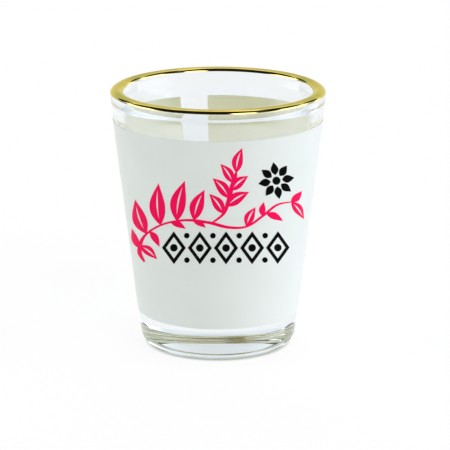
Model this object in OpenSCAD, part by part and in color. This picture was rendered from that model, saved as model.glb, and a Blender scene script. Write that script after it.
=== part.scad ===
// Shot glass with a gilded lip, a white coating for printing and a printed leaf
// ornament. Millimetres, +Z up. The origin is the centre of the foot, on the
// surface that the glass stands on. The ornament faces -Y.

/* [Glass] */
// Overall height, with the gilding
glass_h = 60; // [57:1:70]
// Outer diameter that the straight wall would have at the table
foot_d = 35.2; // [34:0.1:38]
// Widest diameter, at the lip
lip_d = 49.1; // [47:0.1:51]
// Thickness of the wall, measured level
wall_t = 2.5; // [2:0.1:3]
// Thickness of the solid base
base_t = 9.5; // [7:0.5:13]
// Depth of the hollow under the base
punt_depth = 0.3; // [0.2:0.05:0.8]
// Radius of the rounded heel
heel_r = 2.9; // [2:0.1:3.2]
// Radius between the floor of the bowl and its wall
floor_r = 3.2; // [2:0.1:4]

/* [Lip] */
// Thickness of the rounded lip
lip_t = 2.9; // [2.7:0.1:3.2]
// Height of the rounding on top of the lip
lip_round = 1; // [0.9:0.05:1.3]
// How far the gilding reaches down from the top
gold_h = 0.75; // [0.5:0.05:0.85]
// Thickness of the gilding
gold_t = 0.06; // [0.04:0.01:0.1]

/* [Coating] */
// Height of the lower edge of the coating
coat_low = 8.1; // [6:0.1:12]
// Height of the upper edge of the coating
coat_high = 53; // [50:0.1:54]
// Thickness of the coating
coat_t = 0.1; // [0.06:0.01:0.15]
// Angle of the clear strip that the coating leaves at the back
gap_angle = 16.6; // [5:0.1:30]
// Direction of the middle of the clear strip, from +X
gap_at = 104.5; // [80:0.5:115]

/* [Print] */
// Thickness of the ink
ink_t = 0.04; // [0.03:0.01:0.08]
// Upward tilt of the line of sight that the ornament is laid out for
art_tilt = 15; // [0:1:18]
// Height of the ornament's middle, at the front of the glass
art_high = 37.2; // [35:0.1:39]
// Stroke of the finest lines
fine_w = 0.45; // [0.35:0.01:0.6]
// Stroke of the broadest lines
broad_w = 1.2; // [0.8:0.05:1.4]
// Line width of the lozenges
bar_w = 0.74; // [0.5:0.02:0.9]
// Number of lozenges in the row
lozenges = 5; // [3:1:6]
// Number of petals in the rosette
petals = 8; // [6:1:9]

/* [Hidden] */
$fn = 128;

// Wall: both faces lean outward at the same slope. Near the top the outer face
// turns upright in a slight flare, and the inner face swells into a bead.
lip_r = lip_d / 2;
lip_top = glass_h - gold_t;
lip_z = lip_top - lip_round;
flare = 0.12;
flare_low = lip_z - 1.9;
flare_high = lip_z - 0.6;
bead_z = lip_z - 0.95;
neck_z = bead_z - 1.6;
slope = (lip_r - flare - foot_d / 2) / flare_low;
lean = atan(slope);
function wall_r(z) = foot_d / 2 + slope * z;
function bowl_r(z) = wall_r(z) - wall_t;

// Foot: a flat ring around the shallow hollow
ring_in = 11;
punt_r = 9;
heel_x = wall_r(heel_r) - heel_r / cos(lean);
floor_x = bowl_r(base_t + floor_r) - floor_r / cos(lean);

function arc(x, z, r, from, to, steps) =
    [for (i = [0:steps]) let (a = from + (to - from) * i / steps) [x + r * cos(a), z + r * sin(a)]];

// An eased step from one radius and height to another
function ease(r0, z0, r1, z1, steps) =
    [for (i = [1:steps - 1]) let (s = i / steps) [r0 + (r1 - r0) * (1 - cos(180 * s)) / 2, z0 + (z1 - z0) * s]];

// The rounding of the lip from one angle to another, grown outward by a skin
function lip_arc(from, to, skin, steps) =
    [for (i = [0:steps])
        let (a = from + (to - from) * i / steps)
        [lip_r - lip_t / 2 + (lip_t / 2 + skin) * cos(a), lip_z + (lip_round + skin) * sin(a)]];

module glass_body() {
    profile = concat(
        [[0, punt_depth], [punt_r, punt_depth], [ring_in, 0]],
        arc(heel_x, heel_r, heel_r, -90, -lean, 8),
        [[wall_r(flare_low), flare_low]],
        ease(wall_r(flare_low), flare_low, lip_r, flare_high, 4),
        [[lip_r, flare_high]],
        lip_arc(0, 180, 0, 16),
        [[lip_r - lip_t, bead_z]],
        ease(lip_r - lip_t, bead_z, bowl_r(neck_z), neck_z, 6),
        [[bowl_r(neck_z), neck_z]],
        arc(floor_x, base_t + floor_r, floor_r, -lean, -90, 8),
        [[0, base_t]]
    );
    color([0.86, 0.92, 0.91, 0.45])
        rotate_extrude()
            polygon(profile);
}

// A band on the straight wall, from an inner to an outer offset
module wall_band(low, high, inside, outside) {
    polygon([
        [wall_r(low) + inside, low],
        [wall_r(low) + outside, low],
        [wall_r(high) + outside, high],
        [wall_r(high) + inside, high]
    ]);
}

module white_coating() {
    color([0.9, 0.91, 0.88])
        rotate([0, 0, gap_at + gap_angle / 2])
            rotate_extrude(angle = 360 - gap_angle)
                wall_band(coat_low, coat_high, 0, coat_t);
}

module gold_rim() {
    edge = asin(1 - gold_h / lip_round);
    color([0.83, 0.62, 0.18])
        rotate_extrude()
            polygon(concat(
                lip_arc(edge, 180 - edge, gold_t, 16),
                lip_arc(180 - edge, edge, 0, 16)
            ));
}

// Lays a flat drawing on the coating, seen along the tilted line of sight
module on_coating() {
    reach = wall_r(art_high);
    intersection() {
        rotate_extrude()
            wall_band(coat_low + 1, coat_high - 1, coat_t, coat_t + ink_t);
        translate([0, 0, art_high - reach * tan(art_tilt)])
            rotate([90 - art_tilt, 0, 0])
                linear_extrude(height = lip_d)
                    children();
    }
}

// A smooth curve through a list of points
function spline_point(p, i, t) =
    let (
        a = p[max(i - 1, 0)],
        b = p[i],
        c = p[i + 1],
        d = p[min(i + 2, len(p) - 1)]
    )
    (2 * b + (c - a) * t + (2 * a - 5 * b + 4 * c - d) * t * t + (3 * b - a - 3 * c + d) * t * t * t) / 2;
function spline(p, steps) =
    concat([for (i = [0:len(p) - 2]) for (k = [0:steps - 1]) spline_point(p, i, k / steps)], [p[len(p) - 1]]);

// A pen line along a curve: fine along the nib's slant, broad across it
nib_slant = 20;
pen_taper = 0.1;
function heading(c, i) =
    let (v = c[min(i + 1, len(c) - 1)] - c[max(i - 1, 0)]) atan2(v[1], v[0]);
function pen_w(c, i) =
    let (end = min(i, len(c) - 1 - i) / (len(c) - 1))
    (fine_w + (broad_w - fine_w) * pow(sin(heading(c, i) - nib_slant), 2))
        * min(1, 0.35 + 0.65 * end / pen_taper);
function pen_edge(c, i, side) =
    let (h = heading(c, i)) c[i] + side * pen_w(c, i) / 2 * [-sin(h), cos(h)];
function pen_line(c) =
    concat([for (i = [0:len(c) - 1]) pen_edge(c, i, 1)], [for (i = [len(c) - 1:-1:0]) pen_edge(c, i, -1)]);

// A pointed leaf along +X, with its length, width and bend
leaf_steps = 14;
function leaf_swell(t) = pow(sin(180 * pow(t, 0.8)), 1.1);
function leaf_mid(t, bend) = bend * sin(180 * t);
function leaf_edge(t, length, width, bend, side) =
    [t * length, leaf_mid(t, bend) * length + side * width / 2 * leaf_swell(t)];
function leaf(length, width, bend) = concat(
    [[0, 0]],
    [for (i = [1:leaf_steps - 1]) leaf_edge(i / leaf_steps, length, width, bend, 1)],
    [[length, 0]],
    [for (i = [leaf_steps - 1:-1:1]) leaf_edge(i / leaf_steps, length, width, bend, -1)]
);

// The open midrib of a leaf: a slit that tapers to both ends
rib_from = 0.14;
rib_to = 0.84;
rib_w = 0.36;
function rib_edge(u, length, bend, side) =
    let (t = rib_from + (rib_to - rib_from) * u)
    [t * length, leaf_mid(t, bend) * length + side * rib_w / 2 * sin(180 * u)];
function leaf_rib(length, bend) = concat(
    [for (i = [0:leaf_steps]) rib_edge(i / leaf_steps, length, bend, 1)],
    [for (i = [leaf_steps - 1:-1:1]) rib_edge(i / leaf_steps, length, bend, -1)]
);

// The sprig's stem and its upright shoot, drawn by hand as points across and up
// from the ornament's middle
stem = [
    [-16.7, -12], [-17.9, -9.6], [-16.7, -6.2], [-12.8, -3.6], [-7.4, -2.5], [-2.2, -3], [2.4, -4.1],
    [6.4, -3.9], [9.8, -1.7], [13.2, 0.9], [16.6, 1.6]
];
shoot = [[-1.4, -3.1], [1.1, -1.2], [2.3, 1.7], [3.1, 5], [4.1, 8.2]];
// Leaves with a midrib: across, up, direction, length, width and the side that they bend to
leaves = [
    [-16.2, -5.6, 108, 8.2, 3.3, 1],
    [-12.9, -3.6, 92, 9.4, 3.6, 1],
    [-9.2, -2.7, 78, 9.2, 3.5, 1],
    [-5.4, -2.5, 70, 7.2, 3.1, 1],
    [1.2, -1, 126, 5.4, 2.4, -1],
    [1.9, 0.6, 32, 6, 2.6, 1],
    [2.5, 2.4, 130, 5.8, 2.5, -1],
    [2.9, 4.1, 40, 5, 2.3, 1],
    [3.3, 5.8, 124, 5, 2.2, -1],
    [4, 8, 76, 5.6, 2.4, 1],
    [6.3, -3.9, 64, 4.8, 2.2, 1],
    [-17.7, -8.3, -38, 5, 2.1, 1],
    [16.5, 1.6, -52, 5, 2.1, 1]
];
// Small leaves without one, in the same form
small_leaves = [
    [-17.8, -9, 112, 5, 1.7, 1],
    [-15.4, -5, -58, 4.2, 1.6, 1],
    [-10.6, -2.9, -24, 3.8, 1.4, 1],
    [-5.6, -2.5, -30, 3.4, 1.3, 1],
    [9.9, -1.6, 84, 3.2, 1.5, 1],
    [10.8, -1, -24, 4.2, 1.6, 1],
    [16.4, 1.6, 44, 3.6, 1.6, -1]
];
leaf_bend = 0.06;

module pink_leaf_print() {
    color([0.93, 0.08, 0.37])
        on_coating() {
            polygon(pen_line(spline(stem, 6)));
            polygon(pen_line(spline(shoot, 6)));
            for (l = leaves)
                translate([l[0], l[1]])
                    rotate(l[2])
                        difference() {
                            polygon(leaf(l[3], l[4], l[5] * leaf_bend));
                            polygon(leaf_rib(l[3], l[5] * leaf_bend));
                        }
            for (l = small_leaves)
                translate([l[0], l[1]])
                    rotate(l[2])
                        polygon(leaf(l[3], l[4], l[5] * leaf_bend));
        }
}

// Lozenge row: its ends, middle height and the sizes that follow
row_from = -12.6;
row_to = 16.2;
row_up = -8.7;
row_gap = 0.45;
lozenge_tall = 7.4;
lozenge_pitch = (row_to - row_from + row_gap) / lozenges;
lozenge_wide = lozenge_pitch - row_gap;
lozenge_edge = norm([lozenge_wide, lozenge_tall]);
centre_dot_r = 0.85;
side_dot_r = 0.62;
side_dot_up = 2.75;

module lozenge(wide, tall) {
    polygon([[wide / 2, 0], [0, tall / 2], [-wide / 2, 0], [0, -tall / 2]]);
}

module black_lozenge_print() {
    color([0.05, 0.05, 0.05])
        on_coating() {
            for (i = [0:lozenges - 1])
                translate([row_from + lozenge_wide / 2 + i * lozenge_pitch, row_up]) {
                    difference() {
                        lozenge(lozenge_wide, lozenge_tall);
                        lozenge(
                            lozenge_wide - 2 * bar_w * lozenge_edge / lozenge_tall,
                            lozenge_tall - 2 * bar_w * lozenge_edge / lozenge_wide
                        );
                    }
                    circle(r = centre_dot_r);
                }
            for (i = [1:lozenges - 1])
                for (side = [-1, 1])
                    translate([row_from + i * lozenge_pitch - row_gap / 2, row_up + side * side_dot_up])
                        circle(r = side_dot_r);
        }
}

// Rosette: its middle, its turn and the sizes of its petals and its centre
rosette_at = [13, 6.3];
rosette_turn = 10;
rosette_dot_r = 0.9;
petal_from = 1.3;
petal_long = 2.85;
petal_wide = 1.7;

module black_rosette_print() {
    color([0.05, 0.05, 0.05])
        on_coating()
            translate(rosette_at) {
                circle(r = rosette_dot_r);
                for (i = [0:petals - 1])
                    rotate(rosette_turn + i * 360 / petals)
                        translate([petal_from, 0])
                            polygon(leaf(petal_long, petal_wide, 0));
            }
}

glass_body();
white_coating();
gold_rim();
pink_leaf_print();
black_lozenge_print();
black_rosette_print();
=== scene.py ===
"""Shot glass: clear pressed glass, a white coating, a gilded lip and a printed leaf ornament."""

import math

import bpy
import bmesh
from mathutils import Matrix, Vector
from mathutils.geometry import delaunay_2d_cdt
from mathutils.kdtree import KDTree


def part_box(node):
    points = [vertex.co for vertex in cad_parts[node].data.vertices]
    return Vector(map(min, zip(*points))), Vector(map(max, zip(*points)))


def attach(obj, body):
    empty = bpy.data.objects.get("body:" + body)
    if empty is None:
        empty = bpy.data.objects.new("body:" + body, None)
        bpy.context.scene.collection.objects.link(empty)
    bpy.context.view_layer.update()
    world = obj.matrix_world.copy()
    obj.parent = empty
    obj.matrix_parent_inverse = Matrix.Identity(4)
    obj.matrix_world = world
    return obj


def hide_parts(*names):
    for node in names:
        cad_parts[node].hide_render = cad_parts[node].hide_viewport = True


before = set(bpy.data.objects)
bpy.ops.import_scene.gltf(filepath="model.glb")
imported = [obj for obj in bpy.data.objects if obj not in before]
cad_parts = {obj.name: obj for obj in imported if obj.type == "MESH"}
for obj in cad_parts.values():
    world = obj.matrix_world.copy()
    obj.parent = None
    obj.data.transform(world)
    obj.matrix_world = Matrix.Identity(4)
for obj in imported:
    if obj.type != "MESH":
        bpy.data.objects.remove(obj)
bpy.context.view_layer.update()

MM = 0.001

# --- Sizes, in metres ---

# Boxes of the nodes that set the heights
glass_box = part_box("glass_body")
coat_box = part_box("white_coating")
gold_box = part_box("gold_rim")

# Glass
LIP_TOP = glass_box[1].z
LIP_R = 24.55 * MM
FOOT_R = 17.6 * MM
WALL_T = 2.5 * MM
BASE_T = 9.5 * MM
PUNT_DEPTH = 0.3 * MM
PUNT_R = 9 * MM
RING_IN = 11 * MM
HEEL_R = 2.9 * MM
FLOOR_R = 3.2 * MM
LIP_T = 2.9 * MM
LIP_ROUND = 1 * MM
LIP_Z = LIP_TOP - LIP_ROUND
FLARE = 0.12 * MM
FLARE_LOW = LIP_Z - 1.9 * MM
FLARE_HIGH = LIP_Z - 0.6 * MM
BEAD_Z = LIP_Z - 0.95 * MM
NECK_Z = BEAD_Z - 1.6 * MM
SLOPE = (LIP_R - FLARE - FOOT_R) / FLARE_LOW
LEAN = math.atan(SLOPE)

# Films on the glass, and how far each bites into what it lies on
COAT_T = 0.1 * MM
COAT_LOW = coat_box[0].z
COAT_HIGH = coat_box[1].z
GAP_ANGLE = math.radians(16.6)
GAP_AT = math.radians(104.5)
GOLD_H = 0.75 * MM
GOLD_T = gold_box[1].z - LIP_TOP
INK_T = 0.04 * MM
BITE = 0.02 * MM

# Fineness of the meshes
TURN_STEPS = 256
FLAT_STEPS = 8
WALL_STEPS = 24
ROUND_STEPS = 16
FLARE_STEPS = 8
NECK_STEPS = 12
LIP_STEPS = 40
COAT_ROWS = 60
COAT_COLUMNS = 240
SHARP_ANGLE = math.radians(35)


def wall_r(z):
    return FOOT_R + SLOPE * z


def bowl_r(z):
    return wall_r(z) - WALL_T


# --- Turned shapes ---

def arc(x, z, r, start, end, steps):
    points = []
    for i in range(steps + 1):
        a = start + (end - start) * i / steps
        points.append((x + r * math.cos(a), z + r * math.sin(a)))
    return points


def line(r0, z0, r1, z1, steps):
    """The points of a straight line, without its ends."""
    return [(r0 + (r1 - r0) * i / steps, z0 + (z1 - z0) * i / steps) for i in range(1, steps)]


def ease(r0, z0, r1, z1, steps):
    """The points of a smooth change of radius, without its ends."""
    points = []
    for i in range(1, steps):
        s = i / steps
        points.append((r0 + (r1 - r0) * (1 - math.cos(math.pi * s)) / 2, z0 + (z1 - z0) * s))
    return points


def lip_arc(start, end, skin):
    """The rounding of the lip between two angles, grown outward by a skin."""
    middle = LIP_R - LIP_T / 2
    across = LIP_T / 2 + skin
    high = LIP_ROUND + skin
    points = []
    for i in range(LIP_STEPS + 1):
        a = start + (end - start) * i / LIP_STEPS
        points.append((middle + across * math.cos(a), LIP_Z + high * math.sin(a)))
    return points


def glass_profile():
    """Half of the glass's section, from the hollow under the foot, up over the lip, to the bowl's floor."""
    heel_x = wall_r(HEEL_R) - HEEL_R / math.cos(LEAN)
    corner_z = BASE_T + FLOOR_R
    corner_x = bowl_r(corner_z) - FLOOR_R / math.cos(LEAN)
    points = [(0, PUNT_DEPTH)]
    for i in range(1, FLAT_STEPS + 1):
        points.append((PUNT_R * i / FLAT_STEPS, PUNT_DEPTH))
    points.append((RING_IN, 0))
    points += arc(heel_x, HEEL_R, HEEL_R, -math.pi / 2, -LEAN, ROUND_STEPS)
    points += line(*points[-1], wall_r(FLARE_LOW), FLARE_LOW, WALL_STEPS)
    points.append((wall_r(FLARE_LOW), FLARE_LOW))
    points += ease(wall_r(FLARE_LOW), FLARE_LOW, LIP_R, FLARE_HIGH, FLARE_STEPS)
    points.append((LIP_R, FLARE_HIGH))
    points += lip_arc(0, math.pi, 0)
    points.append((LIP_R - LIP_T, BEAD_Z))
    points += ease(LIP_R - LIP_T, BEAD_Z, bowl_r(NECK_Z), NECK_Z, NECK_STEPS)
    points.append((bowl_r(NECK_Z), NECK_Z))
    points += line(bowl_r(NECK_Z), NECK_Z, bowl_r(corner_z), corner_z, WALL_STEPS)
    points += arc(corner_x, corner_z, FLOOR_R, -LEAN, -math.pi / 2, ROUND_STEPS)
    for i in range(1, FLAT_STEPS + 1):
        points.append((corner_x * (1 - i / FLAT_STEPS), BASE_T))
    return points


def gold_profile():
    """The gilding's section: out over the top of the lip, and back inside the glass."""
    edge = math.asin(1 - GOLD_H / LIP_ROUND)
    return lip_arc(edge, math.pi - edge, GOLD_T) + lip_arc(math.pi - edge, edge, -BITE)


def lathe(profile, closed):
    """Vertices and faces of a profile turned about Z; points on the axis become one vertex."""
    verts = []
    rings = []
    for r, z in profile:
        if r == 0:
            rings.append([len(verts)])
            verts.append((0, 0, z))
            continue
        rings.append(list(range(len(verts), len(verts) + TURN_STEPS)))
        for k in range(TURN_STEPS):
            a = 2 * math.pi * k / TURN_STEPS
            verts.append((r * math.cos(a), r * math.sin(a), z))
    pairs = list(zip(rings, rings[1:]))
    if closed:
        pairs.append((rings[-1], rings[0]))
    faces = []
    for low, high in pairs:
        for k in range(TURN_STEPS):
            n = (k + 1) % TURN_STEPS
            if len(low) == 1:
                faces.append((low[0], high[n], high[k]))
            elif len(high) == 1:
                faces.append((low[k], low[n], high[0]))
            else:
                faces.append((low[k], low[n], high[n], high[k]))
    return verts, faces


def coat_shell():
    """The coating: a C-shaped shell on the wall, open at the clear strip."""
    rows, columns = COAT_ROWS, COAT_COLUMNS
    start = GAP_AT + GAP_ANGLE / 2
    sweep = 2 * math.pi - GAP_ANGLE
    verts = []
    for offset in (-BITE, COAT_T):
        for i in range(rows + 1):
            z = COAT_LOW + (COAT_HIGH - COAT_LOW) * i / rows
            for j in range(columns + 1):
                a = start + sweep * j / columns
                r = wall_r(z) + offset
                verts.append((r * math.cos(a), r * math.sin(a), z))

    def at(side, i, j):
        return (side * (rows + 1) + i) * (columns + 1) + j

    faces = []
    for i in range(rows):
        for j in range(columns):
            faces.append((at(0, i, j), at(0, i, j + 1), at(0, i + 1, j + 1), at(0, i + 1, j)))
            faces.append((at(1, i, j), at(1, i + 1, j), at(1, i + 1, j + 1), at(1, i, j + 1)))
        faces.append((at(0, i, 0), at(0, i + 1, 0), at(1, i + 1, 0), at(1, i, 0)))
        faces.append((at(0, i, columns), at(1, i, columns), at(1, i + 1, columns), at(0, i + 1, columns)))
    for j in range(columns):
        faces.append((at(0, 0, j), at(1, 0, j), at(1, 0, j + 1), at(0, 0, j + 1)))
        faces.append((at(0, rows, j), at(0, rows, j + 1), at(1, rows, j + 1), at(1, rows, j)))
    return verts, faces


# --- Ornament, drawn flat in millimetres across and up from its middle ---

# Pen lines: widths along and across the nib's slant, and the taper of their ends
FINE_W = 0.45
BROAD_W = 1.2
NIB_SLANT = math.radians(20)
PEN_TAPER = 0.1
PEN_TIP = 0.35
PEN_STEPS = 14

# Leaves: the bend of the middle as a share of the length, the powers that put the widest part nearer
# the stalk and sharpen the ends, and the open midrib
LEAF_STEPS = 28
LEAF_BEND = 0.06
LEAF_SKEW = 0.8
LEAF_POINT = 1.1
RIB_FROM = 0.14
RIB_TO = 0.84
RIB_W = 0.36

STEM = [
    (-16.7, -12), (-17.9, -9.6), (-16.7, -6.2), (-12.8, -3.6), (-7.4, -2.5), (-2.2, -3), (2.4, -4.1),
    (6.4, -3.9), (9.8, -1.7), (13.2, 0.9), (16.6, 1.6),
]
SHOOT = [(-1.4, -3.1), (1.1, -1.2), (2.3, 1.7), (3.1, 5), (4.1, 8.2)]
# Leaves with a midrib: across, up, direction, length, width and the side that they bend to
LEAVES = [
    (-16.2, -5.6, 108, 8.2, 3.3, 1),
    (-12.9, -3.6, 92, 9.4, 3.6, 1),
    (-9.2, -2.7, 78, 9.2, 3.5, 1),
    (-5.4, -2.5, 70, 7.2, 3.1, 1),
    (1.2, -1, 126, 5.4, 2.4, -1),
    (1.9, 0.6, 32, 6, 2.6, 1),
    (2.5, 2.4, 130, 5.8, 2.5, -1),
    (2.9, 4.1, 40, 5, 2.3, 1),
    (3.3, 5.8, 124, 5, 2.2, -1),
    (4, 8, 76, 5.6, 2.4, 1),
    (6.3, -3.9, 64, 4.8, 2.2, 1),
    (-17.7, -8.3, -38, 5, 2.1, 1),
    (16.5, 1.6, -52, 5, 2.1, 1),
]
# Leaves without a midrib, in the same form
SMALL_LEAVES = [
    (-17.8, -9, 112, 5, 1.7, 1),
    (-15.4, -5, -58, 4.2, 1.6, 1),
    (-10.6, -2.9, -24, 3.8, 1.4, 1),
    (-5.6, -2.5, -30, 3.4, 1.3, 1),
    (9.9, -1.6, 84, 3.2, 1.5, 1),
    (10.8, -1, -24, 4.2, 1.6, 1),
    (16.4, 1.6, 44, 3.6, 1.6, -1),
]

# Row of lozenges with a dot in each, and a dot above and below each gap
LOZENGES = 5
LOZENGE_TALL = 7.4
BAR_W = 0.74
ROW_FROM = -12.6
ROW_TO = 16.2
ROW_UP = -8.7
ROW_GAP = 0.45
CENTRE_DOT_R = 0.85
SIDE_DOT_R = 0.62
SIDE_DOT_UP = 2.75
EDGE_STEPS = 12
DOT_STEPS = 48

# Rosette
PETALS = 8
ROSETTE_AT = (13, 6.3)
ROSETTE_TURN = math.radians(10)
ROSETTE_DOT_R = 0.9
PETAL_FROM = 1.3
PETAL_LONG = 2.85
PETAL_WIDE = 1.7


def spline(points):
    """A smooth curve through a list of points."""
    p = [Vector(q) for q in points]
    curve = []
    for i in range(len(p) - 1):
        a, b, c, d = p[max(i - 1, 0)], p[i], p[i + 1], p[min(i + 2, len(p) - 1)]
        for k in range(PEN_STEPS):
            t = k / PEN_STEPS
            square = 2 * a - 5 * b + 4 * c - d
            cube = 3 * b - a - 3 * c + d
            curve.append((2 * b + (c - a) * t + square * t**2 + cube * t**3) / 2)
    curve.append(p[-1])
    return curve


def pen_line(curve):
    """The outline of a pen line along a curve."""
    left, right = [], []
    last = len(curve) - 1
    for i, point in enumerate(curve):
        way = curve[min(i + 1, last)] - curve[max(i - 1, 0)]
        heading = math.atan2(way.y, way.x)
        end = min(i, last - i) / last
        taper = min(1, PEN_TIP + (1 - PEN_TIP) * end / PEN_TAPER)
        width = (FINE_W + (BROAD_W - FINE_W) * math.sin(heading - NIB_SLANT) ** 2) * taper
        side = Vector((-math.sin(heading), math.cos(heading))) * width / 2
        left.append(point + side)
        right.append(point - side)
    return left + right[::-1]


def leaf_swell(t):
    """The width of a leaf along its length, as a share of its full width."""
    return max(math.sin(math.pi * t**LEAF_SKEW), 0) ** LEAF_POINT


def leaf(length, width, bend):
    """A pointed leaf from the origin along +X."""
    def edge(t, side):
        middle = bend * length * math.sin(math.pi * t)
        return Vector((t * length, middle + side * width / 2 * leaf_swell(t)))

    steps = range(1, LEAF_STEPS)
    upper = [edge(i / LEAF_STEPS, 1) for i in steps]
    lower = [edge(i / LEAF_STEPS, -1) for i in reversed(steps)]
    return [Vector((0, 0))] + upper + [Vector((length, 0))] + lower


def leaf_rib(length, bend):
    """The open midrib of a leaf: a slit that tapers to both ends."""
    def edge(u, side):
        t = RIB_FROM + (RIB_TO - RIB_FROM) * u
        middle = bend * length * math.sin(math.pi * t)
        return Vector((t * length, middle + side * RIB_W / 2 * math.sin(math.pi * u)))

    upper = [edge(i / LEAF_STEPS, 1) for i in range(LEAF_STEPS + 1)]
    lower = [edge(i / LEAF_STEPS, -1) for i in range(LEAF_STEPS - 1, 0, -1)]
    return upper + lower


def place(outline, x, y, turn):
    c, s = math.cos(turn), math.sin(turn)
    return [Vector((x + p.x * c - p.y * s, y + p.x * s + p.y * c)) for p in outline]


def dot(x, y, r):
    outline = []
    for i in range(DOT_STEPS):
        a = 2 * math.pi * i / DOT_STEPS
        outline.append(Vector((x + r * math.cos(a), y + r * math.sin(a))))
    return outline


def lozenge(x, y, wide, tall):
    across, up = wide / 2, tall / 2
    corners = [Vector(corner) for corner in ((x + across, y), (x, y + up), (x - across, y), (x, y - up))]
    outline = []
    for a, b in zip(corners, corners[1:] + corners[:1]):
        outline += [a.lerp(b, i / EDGE_STEPS) for i in range(EDGE_STEPS)]
    return outline


# Each set of shapes is a list of pairs: an outline and the holes in it

def leaf_shapes():
    shapes = [(pen_line(spline(curve)), []) for curve in (STEM, SHOOT)]
    for leaves, ribbed in ((LEAVES, True), (SMALL_LEAVES, False)):
        for x, y, turn, length, width, side in leaves:
            at = (x, y, math.radians(turn))
            bend = side * LEAF_BEND
            holes = [place(leaf_rib(length, bend), *at)] if ribbed else []
            shapes.append((place(leaf(length, width, bend), *at), holes))
    return shapes


def lozenge_shapes():
    pitch = (ROW_TO - ROW_FROM + ROW_GAP) / LOZENGES
    wide = pitch - ROW_GAP
    edge = math.hypot(wide, LOZENGE_TALL)
    hole_wide = wide - 2 * BAR_W * edge / LOZENGE_TALL
    hole_tall = LOZENGE_TALL - 2 * BAR_W * edge / wide
    shapes = []
    for i in range(LOZENGES):
        x = ROW_FROM + wide / 2 + i * pitch
        shapes.append((lozenge(x, ROW_UP, wide, LOZENGE_TALL), [lozenge(x, ROW_UP, hole_wide, hole_tall)]))
        shapes.append((dot(x, ROW_UP, CENTRE_DOT_R), []))
    for i in range(1, LOZENGES):
        x = ROW_FROM + i * pitch - ROW_GAP / 2
        for side in (-1, 1):
            shapes.append((dot(x, ROW_UP + side * SIDE_DOT_UP, SIDE_DOT_R), []))
    return shapes


def rosette_shapes():
    petal = [p + Vector((PETAL_FROM, 0)) for p in leaf(PETAL_LONG, PETAL_WIDE, 0)]
    shapes = [(dot(*ROSETTE_AT, ROSETTE_DOT_R), [])]
    for i in range(PETALS):
        shapes.append((place(petal, *ROSETTE_AT, ROSETTE_TURN + i * 2 * math.pi / PETALS), []))
    return shapes


# --- Ornament, laid on the wall ---

# The line of sight that it is laid out along, and the height of its middle
ART_TILT = math.radians(15)
ART_HIGH = 37.2 * MM

# Grid of inner points, in millimetres: its step, its distance from the outlines, and the merging distance
GRID_STEP = 0.45
GRID_CLEAR = GRID_STEP * 0.45
GRID_MERGE = 1e-5


def inside(point, outline):
    x, y = point
    hit = False
    for a, b in zip(outline, outline[1:] + outline[:1]):
        if (a.y > y) != (b.y > y) and x < (b.x - a.x) * (y - a.y) / (b.y - a.y) + a.x:
            hit = not hit
    return hit


def fill(shapes):
    """Triangles over the union of the shapes, with inner points so that they can follow the wall."""
    loops = [loop for outline, holes in shapes for loop in [outline] + holes]
    points, edges = [], []
    for loop in loops:
        first = len(points)
        points += loop
        edges += [(first + i, first + (i + 1) % len(loop)) for i in range(len(loop))]
    rim = KDTree(len(points))
    for i, p in enumerate(points):
        rim.insert(p.to_3d(), i)
    rim.balance()
    low = Vector((min(p.x for p in points), min(p.y for p in points)))
    high = Vector((max(p.x for p in points), max(p.y for p in points)))

    def covered(p):
        for outline, holes in shapes:
            if inside(p, outline) and not any(inside(p, hole) for hole in holes):
                return True
        return False

    # Every other row of the grid is shifted by half a step
    for i in range(1, int((high.y - low.y) / GRID_STEP)):
        for j in range(1, int((high.x - low.x) / GRID_STEP)):
            p = low + Vector(((j + 0.5 * (i % 2)) * GRID_STEP, i * GRID_STEP))
            if rim.find(p.to_3d())[2] > GRID_CLEAR and covered(p):
                points.append(p)
    verts, _, tris, _, _, _ = delaunay_2d_cdt(points, edges, [], 0, GRID_MERGE)
    kept = []
    for tri in tris:
        if covered(sum((verts[i] for i in tri), Vector((0, 0))) / 3):
            kept.append(tuple(tri))
    return verts, kept


def on_wall(point, offset):
    """Where the line of sight through a point of the flat ornament meets the wall, grown outward."""
    c, s = math.cos(ART_TILT), math.sin(ART_TILT)
    x, up = point.x * MM, point.y * MM
    y0 = up * s
    z0 = ART_HIGH - wall_r(ART_HIGH) * math.tan(ART_TILT) + up * c
    r0 = wall_r(z0) + offset
    # The line's point at t, (x, y0 - t c, z0 + t s), is on the wall where qa t^2 + qb t + qc = 0
    qa = c * c - SLOPE * SLOPE * s * s
    qb = -2 * (y0 * c + SLOPE * s * r0)
    qc = x * x + y0 * y0 - r0 * r0
    t = (-qb + math.sqrt(qb * qb - 4 * qa * qc)) / (2 * qa)
    return (x, y0 - t * c, z0 + t * s)


def ink_mesh(shapes):
    """Raised ink: the flat drawing laid on the coating as thin closed solids."""
    flat, tris = fill(shapes)
    count = len(flat)
    verts = [on_wall(p, COAT_T + INK_T) for p in flat]
    verts += [on_wall(p, COAT_T - BITE) for p in flat]
    faces = list(tris)
    faces += [tuple(count + i for i in reversed(tri)) for tri in tris]
    sides = {edge for tri in tris for edge in zip(tri, tri[1:] + tri[:1])}
    faces += [(a, count + a, count + b, b) for a, b in sides if (b, a) not in sides]
    return verts, faces


# --- Shader nodes ---

# The part of a noise's range that its values mostly lie in
NOISE_LOW = 0.3
NOISE_HIGH = 0.7


def feed(tree, node, **inputs):
    """Fills a node's inputs: another node's output is linked, and anything else is set as a value."""
    for key, value in inputs.items():
        socket = node.inputs[key.replace("_", " ")]
        if isinstance(value, bpy.types.NodeSocket):
            tree.links.new(value, socket)
        else:
            socket.default_value = value


def new_node(tree, kind, **inputs):
    node = tree.nodes.new("ShaderNode" + kind)
    feed(tree, node, **inputs)
    return node


def new_material(name):
    material = bpy.data.materials.new(name)
    material.use_nodes = True
    tree = material.node_tree
    return material, tree, tree.nodes["Principled BSDF"]


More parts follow.
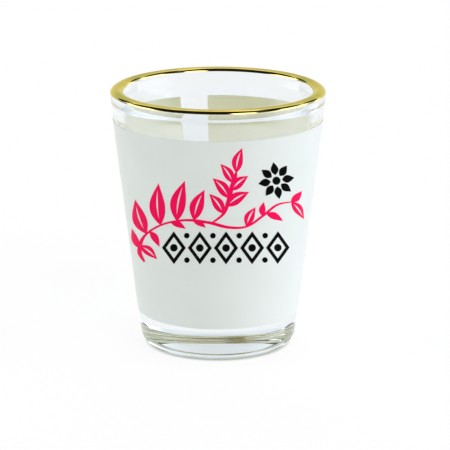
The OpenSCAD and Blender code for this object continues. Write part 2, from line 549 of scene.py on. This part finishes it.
def remap(tree, value, start, end, low=0, high=1, easing="LINEAR"):
    """Maps start to end onto low to high, and holds the value beyond them."""
    level = new_node(tree, "MapRange", Value=value, From_Min=start, From_Max=end, To_Min=low, To_Max=high)
    level.interpolation_type = easing
    return level.outputs["Result"]


def blend(tree, factor, first, second):
    """A colour between two, by a factor from 0 to 1."""
    mix = new_node(tree, "Mix")
    mix.data_type = "RGBA"
    feed(tree, mix, Factor=factor, A=first, B=second)
    return mix.outputs["Result"]


def noise(tree, scale, detail, stretch=(1, 1, 1)):
    where = new_node(tree, "TexCoord")
    mapping = new_node(tree, "Mapping", Vector=where.outputs["Object"], Scale=stretch)
    texture = new_node(tree, "TexNoise", Vector=mapping.outputs["Vector"], Scale=scale, Detail=detail)
    return texture.outputs["Fac"]


def spread(tree, value, low, high):
    """A noise, spread from low to high."""
    return remap(tree, value, NOISE_LOW, NOISE_HIGH, low, high)


def tint(tree, value, low, high):
    """A noise, as a colour between two."""
    return blend(tree, spread(tree, value, 0, 1), (*low, 1), (*high, 1))


def bump(tree, height, distance, strength):
    node = new_node(tree, "Bump", Height=height, Distance=distance, Strength=strength)
    return node.outputs["Normal"]


def ramp(tree, value, stops):
    """A colour that follows a value, from a list of (value, colour)."""
    low, high = stops[0][0], stops[-1][0]
    node = new_node(tree, "ValToRGB", Fac=remap(tree, value, low, high))
    elements = node.color_ramp.elements
    elements[0].color = (*stops[0][1], 1)
    elements[1].color = (*stops[-1][1], 1)
    for spot, colour in stops[1:-1]:
        elements.new((spot - low) / (high - low)).color = (*colour, 1)
    return node.outputs["Color"]


def field(tree, columns):
    """A colour that follows X and Z, from a set of places across, each with its own colours by height."""
    where = new_node(tree, "TexCoord")
    axes = new_node(tree, "SeparateXYZ", Vector=where.outputs["Object"])
    places = list(columns)
    colours = [ramp(tree, axes.outputs["Z"], stops) for stops in columns.values()]
    result = colours[0]
    for colour, start, end in zip(colours[1:], places, places[1:]):
        result = blend(tree, remap(tree, axes.outputs["X"], start, end), result, colour)
    return result


# --- Materials ---

# Painted light on the coating's face against the glass: a glow that stands in for what the thin coating lets
# through, with painted shade low down and towards the back; for each place across, (height, colour) from low
# to high
PAINTED_BACK_GLOW = {
    -18 * MM: [
        (COAT_LOW, (0.02, 0.025, 0.01)), (28 * MM, (0.14, 0.16, 0.12)), (36 * MM, (0.40, 0.40, 0.36)),
        (43 * MM, (0.44, 0.44, 0.46)), (COAT_HIGH, (0.33, 0.33, 0.27)),
    ],
    -11 * MM: [
        (COAT_LOW, (0.02, 0.025, 0.01)), (11 * MM, (0.03, 0.05, 0.03)), (20 * MM, (0.04, 0.07, 0.035)),
        (28 * MM, (0.11, 0.15, 0.10)), (36 * MM, (0.44, 0.46, 0.42)), (43 * MM, (0.47, 0.47, 0.50)),
        (46.8 * MM, (0.46, 0.46, 0.43)), (48.4 * MM, (0.23, 0.25, 0.13)), (COAT_HIGH, (0.20, 0.22, 0.11)),
    ],
    -1 * MM: [
        (COAT_LOW, (0.01, 0.01, 0.005)), (11 * MM, (0.03, 0.025, 0.01)), (20 * MM, (0.05, 0.04, 0.02)),
        (28 * MM, (0.18, 0.17, 0.11)), (38 * MM, (0.42, 0.41, 0.35)), (43 * MM, (0.38, 0.37, 0.32)),
        (46.8 * MM, (0.37, 0.36, 0.28)), (48 * MM, (0.31, 0.31, 0.20)), (COAT_HIGH, (0.28, 0.27, 0.16)),
    ],
    11 * MM: [
        (COAT_LOW, (0.04, 0.05, 0.02)), (11 * MM, (0.09, 0.13, 0.09)), (20 * MM, (0.12, 0.16, 0.10)),
        (28 * MM, (0.35, 0.40, 0.32)), (38 * MM, (0.48, 0.49, 0.46)), (43 * MM, (0.45, 0.44, 0.45)),
        (46.8 * MM, (0.42, 0.43, 0.36)), (48.4 * MM, (0.25, 0.25, 0.15)), (COAT_HIGH, (0.24, 0.23, 0.12)),
    ],
    18 * MM: [
        (COAT_LOW, (0.06, 0.055, 0.03)), (28 * MM, (0.40, 0.40, 0.34)), (43 * MM, (0.48, 0.48, 0.48)),
        (COAT_HIGH, (0.42, 0.41, 0.34)),
    ],
}
PINK = ((0.90, 0.004, 0.093), (0.95, 0.006, 0.107))
BLACK = ((0.001, 0.0012, 0.001), (0.003, 0.0035, 0.003))


def glass_material():
    material, tree, shader = new_material("clear_glass")
    waves = noise(tree, scale=70, detail=1, stretch=(1, 1, 0.5))
    smears = noise(tree, scale=160, detail=3)
    feed(
        tree, shader,
        IOR=1.52,
        Transmission_Weight=1,
        Base_Color=(0.90, 0.925, 0.935, 1),
        Roughness=spread(tree, smears, 0, 0.025),
        Normal=bump(tree, waves, distance=0.06 * MM, strength=0.5),
    )
    return material


def coat_front_material():
    material, tree, shader = new_material("white_coat")
    clouds = noise(tree, scale=90, detail=3)
    grain = noise(tree, scale=300, detail=2)
    pores = noise(tree, scale=1400, detail=2)
    feed(
        tree, shader,
        IOR=1.48,
        Base_Color=tint(tree, clouds, (0.745, 0.785, 0.74), (0.775, 0.815, 0.77)),
        Roughness=spread(tree, grain, 0.32, 0.44),
        Normal=bump(tree, pores, distance=0.01 * MM, strength=0.6),
    )
    return material


def coat_back_material():
    """The face that is bonded to the glass, with a painted glow by height and place across that stands in
    for the light the thin coating lets through.
    """
    material, tree, shader = new_material("white_coat_back")
    clouds = noise(tree, scale=120, detail=3)
    feed(
        tree, shader,
        Base_Color=tint(tree, clouds, (0.78, 0.775, 0.65), (0.82, 0.815, 0.69)),
        Roughness=0.5,
        # Painted glow and shade, in place of light through the coating
        Emission_Color=field(tree, PAINTED_BACK_GLOW),
        Emission_Strength=1,
    )
    return material


def gold_material():
    material, tree, shader = new_material("gold")
    clouds = noise(tree, scale=120, detail=2)
    grain = noise(tree, scale=700, detail=3)
    ripples = noise(tree, scale=170, detail=3)
    feed(
        tree, shader,
        Metallic=1,
        Specular_Tint=(0.95, 0.88, 0.50, 1),
        Base_Color=tint(tree, clouds, (0.54, 0.48, 0.15), (0.86, 0.66, 0.20)),
        Roughness=spread(tree, grain, 0.015, 0.06),
        Normal=bump(tree, ripples, distance=0.06 * MM, strength=0.8),
    )
    return material


def ink_material(name, low, high):
    material, tree, shader = new_material(name)
    clouds = noise(tree, scale=900, detail=3)
    grain = noise(tree, scale=500, detail=2)
    pores = noise(tree, scale=2200, detail=2)
    feed(
        tree, shader,
        Specular_IOR_Level=0.02,
        Base_Color=tint(tree, clouds, low, high),
        Roughness=spread(tree, grain, 0.36, 0.5),
        Normal=bump(tree, pores, distance=0.008 * MM, strength=0.7),
    )
    return material


# --- Pieces ---

# A face of the coating looks at the glass where its normal's outward part is below this
FACES_IN = -0.5


def new_piece(name, shape, node, material):
    verts, faces = shape
    mesh = bpy.data.meshes.new(name)
    mesh.from_pydata(verts, [], faces)
    mesh.update()
    bm = bmesh.new()
    bm.from_mesh(mesh)
    bmesh.ops.recalc_face_normals(bm, faces=bm.faces)
    bm.to_mesh(mesh)
    bm.free()
    mesh.shade_smooth()
    mesh.set_sharp_from_angle(angle=SHARP_ANGLE)
    mesh.materials.append(material)
    piece = bpy.data.objects.new(name, mesh)
    bpy.context.scene.collection.objects.link(piece)
    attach(piece, "root")
    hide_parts(node)
    return piece


def line_coat(piece):
    """Gives the coating's faces on the glass their own material."""
    piece.data.materials.append(coat_back_material())
    for face in piece.data.polygons:
        outward = Vector((face.center.x, face.center.y, 0)).normalized()
        if face.normal.dot(outward) < FACES_IN:
            face.material_index = 1


glass = lathe(glass_profile(), closed=False)
new_piece("clear_glass_body", glass, "glass_body", glass_material())
coat = new_piece("satin_coating", coat_shell(), "white_coating", coat_front_material())
line_coat(coat)
gilding = lathe(gold_profile(), closed=True)
new_piece("gilded_lip", gilding, "gold_rim", gold_material())

pink = ink_material("pink_ink", *PINK)
black = ink_material("black_ink", *BLACK)
new_piece("leaf_sprig_ink", ink_mesh(leaf_shapes()), "pink_leaf_print", pink)
new_piece("lozenge_row_ink", ink_mesh(lozenge_shapes()), "black_lozenge_print", black)
new_piece("rosette_ink", ink_mesh(rosette_shapes()), "black_rosette_print", black)

# --- Floor ---

FLOOR_REACH = 3
FLOOR_DROP = 0.05 * MM
FLOOR_STRENGTH = 1.1
FLOOR_SHARE = 0.8
# Glow of the floor outward from the middle of the glass, (distance, colour), with a painted shadow under the
# glass: darkest where the heel meets it
FLOOR_GLOW_PAINTED_SHADOW = [
    (10 * MM, (0.74, 0.76, 0.75)),
    (13.5 * MM, (0.46, 0.49, 0.45)),
    (15.4 * MM, (0.34, 0.38, 0.33)),
    (16.1 * MM, (0.55, 0.58, 0.54)),
    (17.2 * MM, (1, 1, 1)),
]


def floor_material():
    """A matt white surface that glows too, so that the floor stays pale all over, with a painted shadow ring
    under the glass's heel.
    """
    material, tree, shader = new_material("floor")
    feed(tree, shader, Base_Color=(0.9, 0.9, 0.9, 1), Roughness=0.8, Specular_IOR_Level=0)
    where = new_node(tree, "TexCoord")
    reach = new_node(tree, "VectorMath")
    reach.operation = "LENGTH"
    tree.links.new(where.outputs["Object"], reach.inputs[0])
    # Painted contact shadow: the glow dims in a ring under the heel
    colour = ramp(tree, reach.outputs["Value"], FLOOR_GLOW_PAINTED_SHADOW)
    glow = new_node(tree, "Emission", Color=colour, Strength=FLOOR_STRENGTH)
    mix = new_node(tree, "MixShader", Fac=FLOOR_SHARE)
    tree.links.new(shader.outputs["BSDF"], mix.inputs[1])
    tree.links.new(glow.outputs["Emission"], mix.inputs[2])
    feed(tree, tree.nodes["Material Output"], Surface=mix.outputs["Shader"])
    return material


floor_mesh = bpy.data.meshes.new("floor")
floor_corners = [(x * FLOOR_REACH, y * FLOOR_REACH, 0) for x, y in ((-1, -1), (1, -1), (1, 1), (-1, 1))]
floor_mesh.from_pydata(floor_corners, [], [(0, 1, 2, 3)])
floor_mesh.materials.append(floor_material())
floor = bpy.data.objects.new("floor", floor_mesh)
floor.location.z = -FLOOR_DROP
bpy.context.scene.collection.objects.link(floor)

# --- Light tent ---

CLOTH = (0.86, 0.93, 0.97, 1)
BACKDROP = (1.1, 1.1, 1.1, 1)
DARK = (0.02, 0.02, 0.02)
CARD = (0, 0, 0)
# Soft round patches, each laid over the ones before: azimuth from the camera's side to its right,
# elevation, inner and outer radius, all in degrees, and colour
PATCHES = [
    # Dimmer cloth around the camera
    (-14, 10, 20, 75, (0.66, 0.72, 0.74)),
    # Lamps: above, right and left
    (180, 70, 15, 40, (1.35, 1.35, 1.3)),
    (98, 12, 20, 50, (2.5, 2.6, 3.1)),
    (-102, 36, 15, 38, (2.9, 2.9, 3.0)),
    # Dark openings, for the black lines in the gilding
    (-30, 65, 41, 45, DARK),
    (62, 50, 16, 20, DARK),
    (-115, 50, 16, 21, DARK),
    (115, 52, 14, 19, DARK),
    # Small lamp, for the highlights in the gilding
    (32, 42, 12, 14, (3.4, 3.3, 3.1)),
    # Dimmer cloth behind the glass
    (180, 32, 14, 30, (0.76, 0.80, 0.82)),
    # Black cards to the left and right, for the dark strokes in the base
    (-120, 10, 9, 11, CARD),
    (-136, 28, 9, 12, CARD),
    (117, 10, 8, 10, CARD),
    (134, 28, 9, 12, CARD),
]


def sky_patch(tree, below, azimuth, elevation, inner, outer, colour):
    """Lays a soft round patch over the colour below it."""
    turn, up = math.radians(azimuth), math.radians(elevation)
    direction = (math.cos(up) * math.sin(turn), -math.cos(up) * math.cos(turn), math.sin(up))
    where = new_node(tree, "TexCoord")
    facing = new_node(tree, "VectorMath")
    facing.operation = "DOT_PRODUCT"
    facing.inputs[1].default_value = direction
    tree.links.new(where.outputs["Generated"], facing.inputs[0])
    start, end = math.cos(math.radians(outer)), math.cos(math.radians(inner))
    edge = remap(tree, facing.outputs["Value"], start, end, easing="SMOOTHSTEP")
    return blend(tree, edge, below, (*colour, 1))


def build_tent():
    """The light tent, and a plain white backdrop where the camera looks past the glass."""
    world = bpy.data.worlds.new("studio")
    world.use_nodes = True
    bpy.context.scene.world = world
    tree = world.node_tree
    cloth = new_node(tree, "RGB")
    cloth.outputs["Color"].default_value = CLOTH
    tent = cloth.outputs["Color"]
    for patch in PATCHES:
        tent = sky_patch(tree, tent, *patch)
    ray = new_node(tree, "LightPath")
    feed(tree, tree.nodes["Background"], Color=blend(tree, ray.outputs["Is Camera Ray"], tent, BACKDROP))


build_tent()

# --- Camera ---

CAMERA_AT = (0, -0.5625, 0.1818)
CAMERA_DIP = 0.26776
CAMERA_SENSOR = 36
CAMERA_LENS = 201.8
CAMERA_SHIFT = 0.0156
CAMERA_NEAR = 0.01

camera_data = bpy.data.cameras.new("camera")
camera_data.sensor_width = CAMERA_SENSOR
camera_data.lens = CAMERA_LENS
camera_data.shift_x = CAMERA_SHIFT
camera_data.clip_start = CAMERA_NEAR
camera = bpy.data.objects.new("camera", camera_data)
camera.location = CAMERA_AT
camera.rotation_euler = (math.pi / 2 - CAMERA_DIP, 0, 0)
bpy.context.scene.collection.objects.link(camera)
bpy.context.scene.camera = camera
bpy.context.scene.view_settings.view_transform = "Standard"
bpy.context.scene.cycles.use_denoising = True
bpy.context.scene.cycles.max_bounces = 24
bpy.context.scene.cycles.diffuse_bounces = 16
bpy.context.scene.cycles.glossy_bounces = 8
bpy.context.scene.cycles.transmission_bounces = 20
